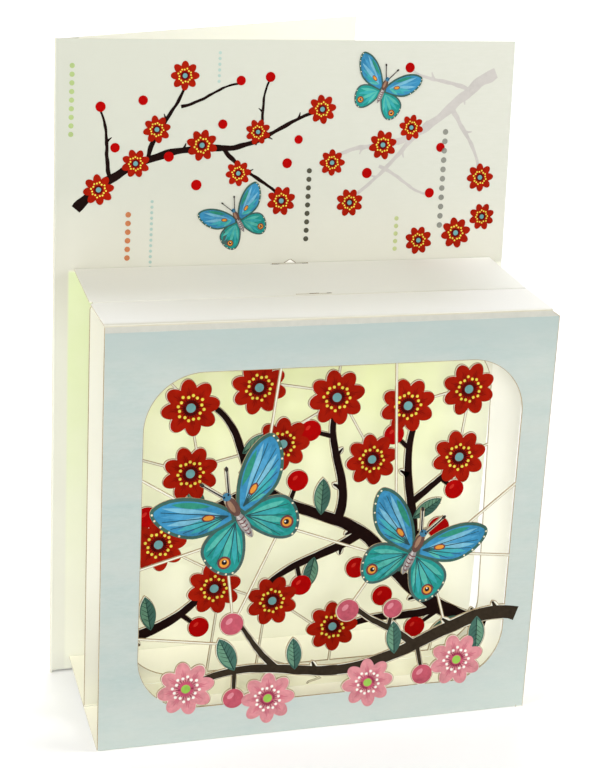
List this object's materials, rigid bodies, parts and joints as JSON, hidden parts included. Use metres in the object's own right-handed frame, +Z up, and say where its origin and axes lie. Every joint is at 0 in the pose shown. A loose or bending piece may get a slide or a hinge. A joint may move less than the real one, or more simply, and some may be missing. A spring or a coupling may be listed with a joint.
{
  "type": "greeting card",
  "caption": "Stand-up greeting card with a tall printed panel, a cover leaf folded back as its stand, and an open-sided box front with cut-paper flower sprays in a rounded window.",
  "frame": {"origin": "on the table, under the middle of the standing card's outer box", "axes": "+Z up along the panel's height, +X to the reader's right along the panel's width, the decorated front faces -Y"},
  "size_m": [0.1504, 0.1408, 0.209],
  "materials": {
    "cover_card": "matte",
    "rear_card": "matte",
    "front_card": "matte",
    "blue_print": "matte",
    "motif_print": "matte",
    "cut_edge": "matte"
  },
  "bodies": {
    "root": {"cover_sheet": "cover_card", "rear_box_sheet": "rear_card", "front_box_sheet": "front_card"}
  },
  "joints": []
}
